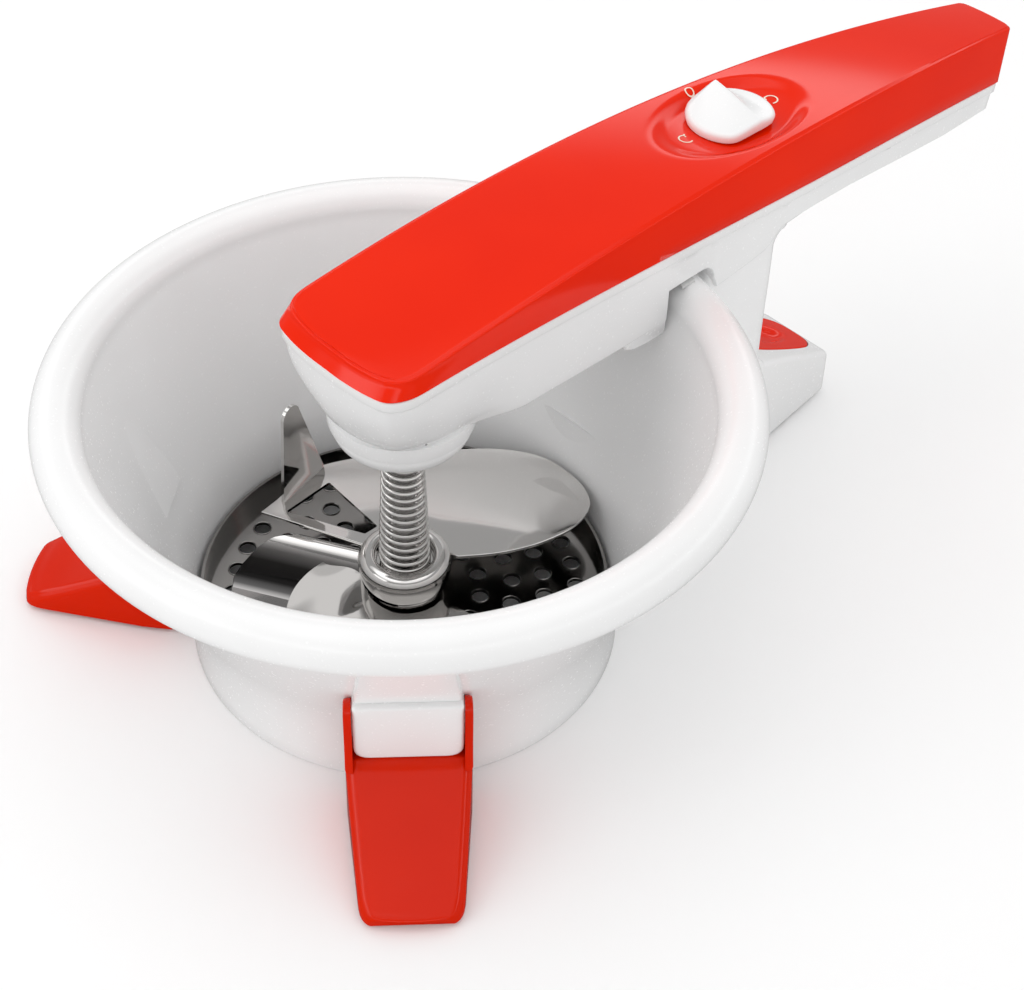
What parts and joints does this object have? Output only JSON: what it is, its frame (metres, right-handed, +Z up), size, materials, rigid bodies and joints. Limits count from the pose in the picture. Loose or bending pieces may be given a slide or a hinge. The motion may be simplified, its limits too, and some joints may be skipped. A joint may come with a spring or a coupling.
{
  "type": "food mill",
  "caption": "Electric food mill: flared bowl on folding feet, perforated disc, spring-loaded turning blade and a motor handle with a rotary knob.",
  "frame": {"origin": "centre of the standing ring, at the table", "axes": "+Z up along the blade's axis, +X along the handle"},
  "size_m": [0.4215, 0.24, 0.1556],
  "materials": {
    "white_plastic": "glossy",
    "red_plastic": "glossy",
    "polished_steel": "polished",
    "plated_steel": "satin",
    "rubber_grey": "matt",
    "gear_brass": "machined",
    "bush_bronze": "satin",
    "black_plastic": "matt",
    "wire_skin": "satin"
  },
  "bodies": {
    "mill": {"bowl": "white_plastic", "foot_pins": "plated_steel", "rear_pad": "rubber_grey", "latch_spring": "plated_steel", "disc": "polished_steel", "disc_stud": "polished_steel", "lower_bush": "bush_bronze", "upper_bush": "bush_bronze", "bush_bridge": "plated_steel", "handle_housing": "white_plastic", "nose_collar": "white_plastic", "lip_pad": "rubber_grey", "cover": "red_plastic", "rotary_switch": "black_plastic", "gear_head": "plated_steel", "motor_can": "plated_steel", "motor_cap": "black_plastic", "motor_plate": "plated_steel", "inner_wires": "wire_skin", "power_inlet": "black_plastic", "cover_screws": "plated_steel"},
    "foot_left_unit": {"foot_left": "red_plastic", "foot_pad_left": "rubber_grey"},
    "foot_right_unit": {"foot_right": "red_plastic", "foot_pad_right": "rubber_grey"},
    "button": {"release_button": "red_plastic"},
    "blade_drive": {"blade": "polished_steel", "blade_wing": "polished_steel", "scraper_finger": "polished_steel", "blade_hub": "polished_steel", "blade_shaft": "plated_steel", "spring": "polished_steel", "spring_seat": "plated_steel", "drive_socket": "plated_steel", "face_gear": "gear_brass", "shaft_clip": "plated_steel"},
    "dial": {"knob": "white_plastic"},
    "motor_gear": {"pinion": "gear_brass"}
  },
  "joints": [
    {"name": "blade_turn", "type": "hinge", "parent": "mill", "child": "blade_drive", "pos_m": [0, 0, 0.03], "axis": [0, 0, 1], "continuous": true},
    {"name": "pinion_turn", "type": "hinge", "parent": "mill", "child": "motor_gear", "pos_m": [0.02, 0, 0.118], "axis": [1, 0, 0], "continuous": true},
    {"name": "knob_turn", "type": "hinge", "parent": "mill", "child": "dial", "pos_m": [0.152, 0, 0.146], "axis": [0, 0, 1], "range_deg": [-90, 90]},
    {"name": "foot_left_fold", "type": "hinge", "parent": "mill", "child": "foot_left_unit", "pos_m": [-0.05644, 0.06726, 0.049], "axis": [0.766, 0.6428, 0], "range_deg": [0, 95]},
    {"name": "foot_right_fold", "type": "hinge", "parent": "mill", "child": "foot_right_unit", "pos_m": [-0.05644, -0.06726, 0.049], "axis": [-0.766, 0.6428, 0], "range_deg": [0, 95]},
    {"name": "release_press", "type": "slide", "parent": "mill", "child": "button", "axis": [0, 0, -1], "range_m": [0, 0.0025], "stiffness_N_per_m": 600, "springref_m": -0.0015, "deforming": ["latch_spring"]}
  ],
  "couplings": [
    {"joint": "pinion_turn", "follows": "blade_turn", "ratio": 1.8125}
  ]
}
